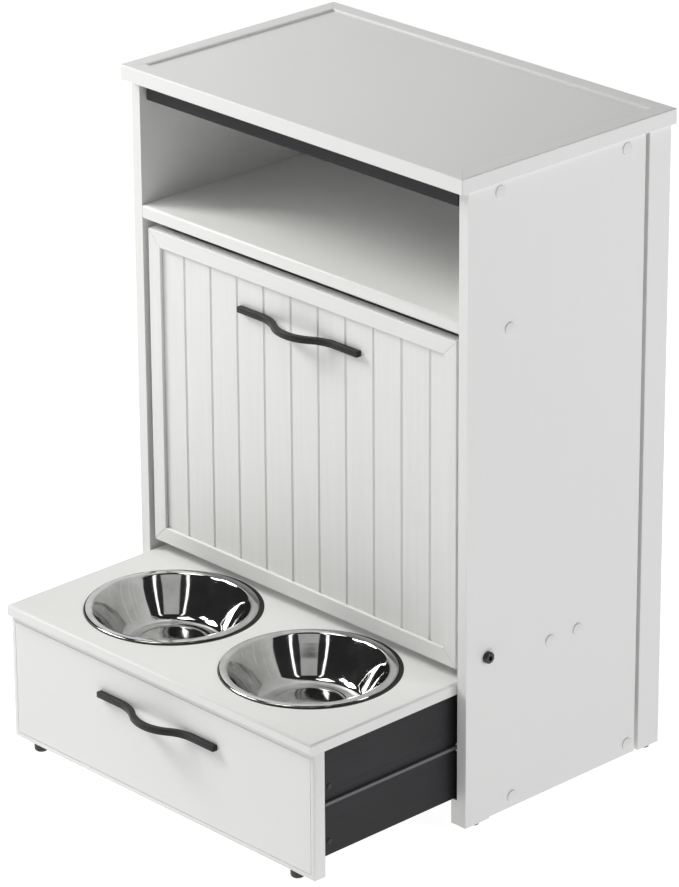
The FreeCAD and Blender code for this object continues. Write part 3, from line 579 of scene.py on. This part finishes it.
# Drawer side screws: black pan-head screws, two on each side just behind the drawer's
# front. Two thin crossed bars on each head stand for its cross recess.
DRAWER_SIDE_X = 0.275
SCREW_Y = FRONT_Y - 0.210
SCREW_HEIGHTS = (0.055, 0.128)
SCREW_RADIUS = 0.0035
SCREW_THICK = 0.001
SCREW_ROUNDING = 0.0004
CROSS_LONG = 0.0042
CROSS_WIDE = 0.0008
CROSS_THICK = 0.0002
CROSS_OUT = 0.00098


def side_screws():
    build = bmesh.new()
    for outward in (-1, 1):
        for z in SCREW_HEIGHTS:
            centre = (outward * DRAWER_SIDE_X, SCREW_Y, z)
            add_disc(build, SCREW_RADIUS, SCREW_THICK, SCREW_ROUNDING, centre, outward,
                     SMALL_DISC_SIDES)
            for wide, high in ((CROSS_LONG, CROSS_WIDE), (CROSS_WIDE, CROSS_LONG)):
                place = Matrix.Translation((centre[0] + outward * CROSS_OUT, SCREW_Y, z))
                shape = Matrix.Diagonal((CROSS_THICK, wide, high, 1))
                bmesh.ops.create_cube(build, size=1, matrix=place @ shape)
    finished("drawer_screw_heads", build, black_plastic, "drawer", ["drawer_side_screws"])


side_screws()


# Drawer feet: two black glides pushed up into the front's lower edge, with well rounded
# lower rims that slide over the floor.
FOOT_X = 0.238
FOOT_Y = DRAWER_FACE_Y + 0.009
FOOT_RADIUS = 0.009
FOOT_HIGH = 0.01
FOOT_ROUNDING = 0.0035


def drawer_feet():
    build = bmesh.new()
    for x in (-FOOT_X, FOOT_X):
        place = Matrix.Translation((x, FOOT_Y, FOOT_HIGH / 2))
        made = bmesh.ops.create_cone(build, cap_ends=True, segments=48, radius1=FOOT_RADIUS,
                                     radius2=FOOT_RADIUS, depth=FOOT_HIGH, matrix=place)
        rim = {edge for vert in made["verts"] for edge in vert.link_edges
               if all(end.co.z < NEARLY_ZERO for end in edge.verts)}
        bmesh.ops.bevel(build, geom=list(rim), offset=FOOT_ROUNDING, offset_type="OFFSET",
                        segments=5, profile=0.5, affect="EDGES", material=-1)
    finished("drawer_domed_feet", build, black_plastic, "drawer", ["drawer_feet"])


drawer_feet()


# Bowl gaskets: black rubber rings in the rebates of the top board, under the rims of the
# bowls. The rubber is matt and faintly gritty. Where a ring shows beside a rim, on its
# right and back, its black is painted shadow in place of the shadow that the rim casts.
def black_rubber():
    colour = (0.012, 0.012, 0.012)
    material, tree, shader = new_material("black_rubber", colour, 0.6, 0.3)
    grit = noise(tree, 900, 3)
    tint = ramp(tree, grit, scaled(colour, 0.7), scaled(colour, 1.6))
    tree.links.new(tint, shader.inputs["Base Color"])
    bump(tree, shader, [(grit, 0.4, 0.0001)])
    return material


paint_node("bowl_gaskets", black_rubber())


# Feeding bowls: spun stainless steel, polished, with a raised middle in the base, a
# sloping wall and a rim turned down at its edge. They lie loose over the rubber rings.
RIM_TOP = 0.1975
# the bowls sit 2 mm left of centre, so the black rings show on their right as painted shadow
BOWL_PLACES = {"bowl_left": -0.1274, "bowl_right": 0.1234}
BOWL_Y = FRONT_Y - 0.100
BOWL_WALL = 0.001
# radius and height from the rim's top, along the inside from the middle to the hem
BOWL_LINE = [
    (0, -0.0490), (0.040, -0.0490), (0.0435, -0.0492), (0.0462, -0.0508), (0.0490, -0.0520),
    (0.0560, -0.0520), (0.0620, -0.0512), (0.0672, -0.0484), (0.0710, -0.0440),
    (0.0830, -0.0262), (0.0920, -0.0122), (0.0962, -0.0060), (0.0988, -0.0026),
    (0.1000, -0.0009), (0.1018, -0.0002), (0.1050, 0), (0.1085, -0.0001), (0.1100, -0.0004),
    (0.1108, -0.0012), (0.1110, -0.0022),
]
BOWL_STEPS = 96
STEEL_DARK = (0.52, 0.52, 0.515)
STEEL_LIGHT = (0.64, 0.64, 0.635)


def polished_steel(name, centre_x):
    """Polished steel with turned rings centred on the bowl and faint smears."""
    material, tree, shader = new_material(name, STEEL_LIGHT, 0.09)
    shader.inputs["Metallic"].default_value = 1
    place = tree.nodes.new("ShaderNodeTexCoord")
    mapping = tree.nodes.new("ShaderNodeMapping")
    mapping.inputs["Location"].default_value = (-centre_x, -BOWL_Y, 0)
    rings = tree.nodes.new("ShaderNodeTexWave")
    rings.wave_type = "RINGS"
    rings.rings_direction = "Z"
    rings.inputs["Scale"].default_value = 380
    rings.inputs["Distortion"].default_value = 1.5
    rings.inputs["Detail"].default_value = 2
    tree.links.new(place.outputs["Object"], mapping.inputs["Vector"])
    tree.links.new(mapping.outputs["Vector"], rings.inputs["Vector"])
    smear = noise(tree, 45, 3)
    gloss = ramp(tree, smear, grey(0.04), grey(0.09), 0.35, 0.75)
    tree.links.new(gloss, shader.inputs["Roughness"])
    tint = ramp(tree, smear, STEEL_DARK, STEEL_LIGHT)
    tree.links.new(tint, shader.inputs["Base Color"])
    bump(tree, shader, [(rings.outputs["Fac"], 0.12, 0.00002), (smear, 0.05, 0.0004)])
    return material


def bowl(node, centre_x):
    build = bmesh.new()
    axis = Vector((centre_x, BOWL_Y, RIM_TOP))
    points = [build.verts.new(axis + Vector((radius, 0, height)))
              for radius, height in BOWL_LINE]
    line = [build.edges.new(pair) for pair in zip(points, points[1:])]
    bmesh.ops.spin(build, geom=points + line, cent=axis, axis=(0, 0, 1),
                   angle=2 * math.pi, steps=BOWL_STEPS, use_merge=True)
    bmesh.ops.remove_doubles(build, verts=build.verts, dist=NEARLY_ZERO)
    bmesh.ops.recalc_face_normals(build, faces=build.faces)
    if sum(face.normal.z * face.calc_area() for face in build.faces) < 0:
        bmesh.ops.reverse_faces(build, faces=build.faces)
    mesh = bpy.data.meshes.new(node + "_spun")
    build.to_mesh(mesh)
    build.free()
    mesh.materials.append(polished_steel(node + "_steel", centre_x))
    mesh.shade_smooth()
    piece = bpy.data.objects.new(node + "_spun", mesh)
    bpy.context.collection.objects.link(piece)
    wall = piece.modifiers.new("wall", "SOLIDIFY")
    wall.thickness = BOWL_WALL
    wall.offset = -1
    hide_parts(node)
    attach(piece, node)


for node, centre_x in BOWL_PLACES.items():
    bowl(node, centre_x)
